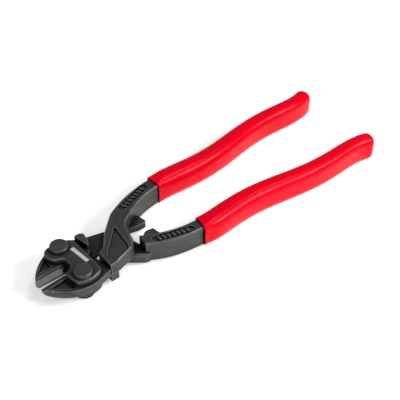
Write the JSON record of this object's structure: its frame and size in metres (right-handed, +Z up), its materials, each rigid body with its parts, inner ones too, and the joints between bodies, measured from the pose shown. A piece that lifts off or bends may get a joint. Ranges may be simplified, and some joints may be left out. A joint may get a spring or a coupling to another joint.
{
  "type": "bolt cutters",
  "caption": "Compact compound-action bolt cutters with side plates, a lap-jointed pair of levers and dipped grips.",
  "frame": {"origin": "under the middle of the tool's box, at the height of the lower rivet heads it lies on", "axes": "+X from the jaws to the handle ends, +Y towards the upper handle, +Z up through the rivets"},
  "size_m": [0.1989, 0.0594, 0.016],
  "materials": {
    "forged_black_steel": "satin",
    "rivet_steel": "satin",
    "bare_steel": "satin",
    "grip_plastic": "gloss"
  },
  "bodies": {
    "fixed_lever": {"fixed_jaw_lever": "forged_black_steel", "upper_grip": "grip_plastic", "handle_pivot_pin": "bare_steel", "pivot_spacer": "bare_steel"},
    "drive_handle": {"drive_lever": "forged_black_steel", "lower_grip": "grip_plastic", "drive_pin": "bare_steel", "drive_bush": "bare_steel"},
    "strap_link": {"top_strap": "forged_black_steel", "bottom_strap": "forged_black_steel", "fixed_jaw_rivet": "rivet_steel", "moving_jaw_rivet": "rivet_steel"},
    "jaw_link": {"moving_jaw": "forged_black_steel"}
  },
  "joints": [
    {"name": "handle_pivot", "type": "hinge", "parent": "fixed_lever", "child": "drive_handle", "pos_m": [-0.0615, -0.006, 0.008], "axis": [0, 0, 1], "range_deg": [-34, 9.5]},
    {"name": "strap_pivot", "type": "hinge", "parent": "fixed_lever", "child": "strap_link", "pos_m": [-0.0795, -0.0103, 0.008], "axis": [0, 0, 1], "range_deg": [-8.6, 2.4]},
    {"name": "jaw_pivot", "type": "hinge", "parent": "strap_link", "child": "jaw_link", "pos_m": [-0.0795, 0.0103, 0.008], "axis": [0, 0, 1], "range_deg": [-3.64, 1.02]}
  ],
  "couplings": [
    {"joint": "strap_pivot", "follows": "handle_pivot", "ratio": 0.253},
    {"joint": "jaw_pivot", "follows": "handle_pivot", "ratio": 0.107}
  ]
}
